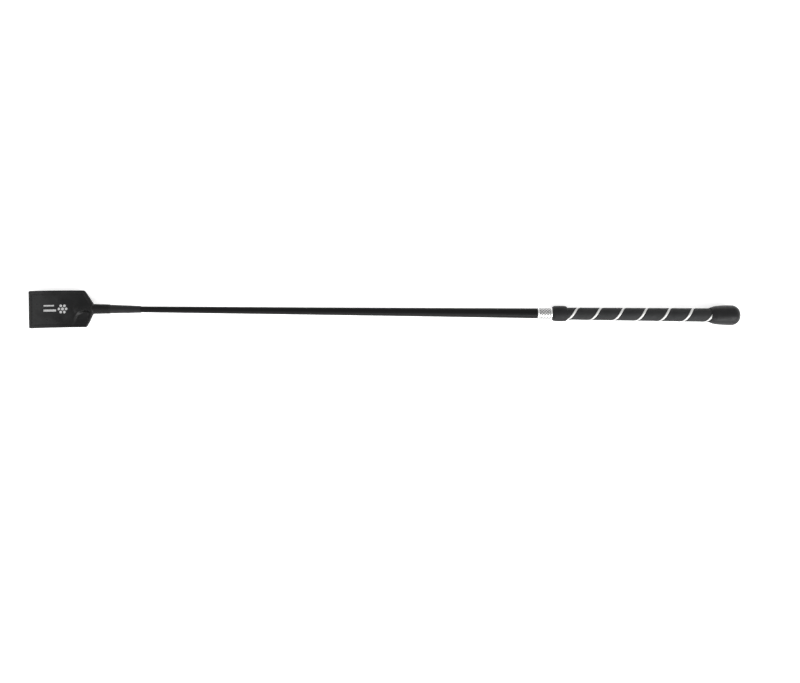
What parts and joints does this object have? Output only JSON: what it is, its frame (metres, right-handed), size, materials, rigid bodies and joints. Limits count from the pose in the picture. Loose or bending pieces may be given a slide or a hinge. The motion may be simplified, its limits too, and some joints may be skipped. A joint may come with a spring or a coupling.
{
  "type": "riding crop",
  "caption": "Slender tapered riding crop with a flat leather keeper at the tip, a braided shaft, a bright ferrule and a taped handle with a spiral piping and a rounded rubber cap.",
  "frame": {"origin": "the middle of the crop's bounding box, on the rod's axis", "axes": "+X along the rod towards the butt cap, the keeper's flat faces look along +Z and -Z, +Y across the keeper"},
  "size_m": [0.65, 0.0344, 0.0184],
  "materials": {
    "fibreglass": "raw",
    "braid": "lacquered braid",
    "keeper_leather": "smooth, lightly polished",
    "thread": "waxed",
    "sleeve": "satin",
    "ferrule_metal": "embossed, bright",
    "collar_rubber": "matte",
    "former_plastic": "moulded",
    "grip_rubber": "fine-grained, matte",
    "piping_cord": "metallic woven cord",
    "cap_rubber": "satin, lightly creased"
  },
  "bodies": {
    "whip": {"core_rod": "fibreglass", "shaft_braid": "braid", "keeper_root_front": "keeper_leather", "keeper_root_back": "keeper_leather", "root_stitching": "thread", "neck_whipping": "thread", "tail_sleeve": "sleeve", "ferrule": "ferrule_metal", "handle_former": "former_plastic", "front_collar": "collar_rubber", "grip_tape": "grip_rubber", "grip_piping": "piping_cord", "butt_knob": "former_plastic", "butt_cap": "cap_rubber"},
    "keeper": {"keeper_front": "keeper_leather", "keeper_back": "keeper_leather", "keeper_stitching": "thread"}
  },
  "joints": [
    {"name": "keeper_flex", "type": "hinge", "parent": "whip", "child": "keeper", "pos_m": [-0.277, 0, 0], "axis": [0, 1, 0], "range_deg": [-70, 70], "stiffness_Nm_per_rad": 0.2}
  ]
}
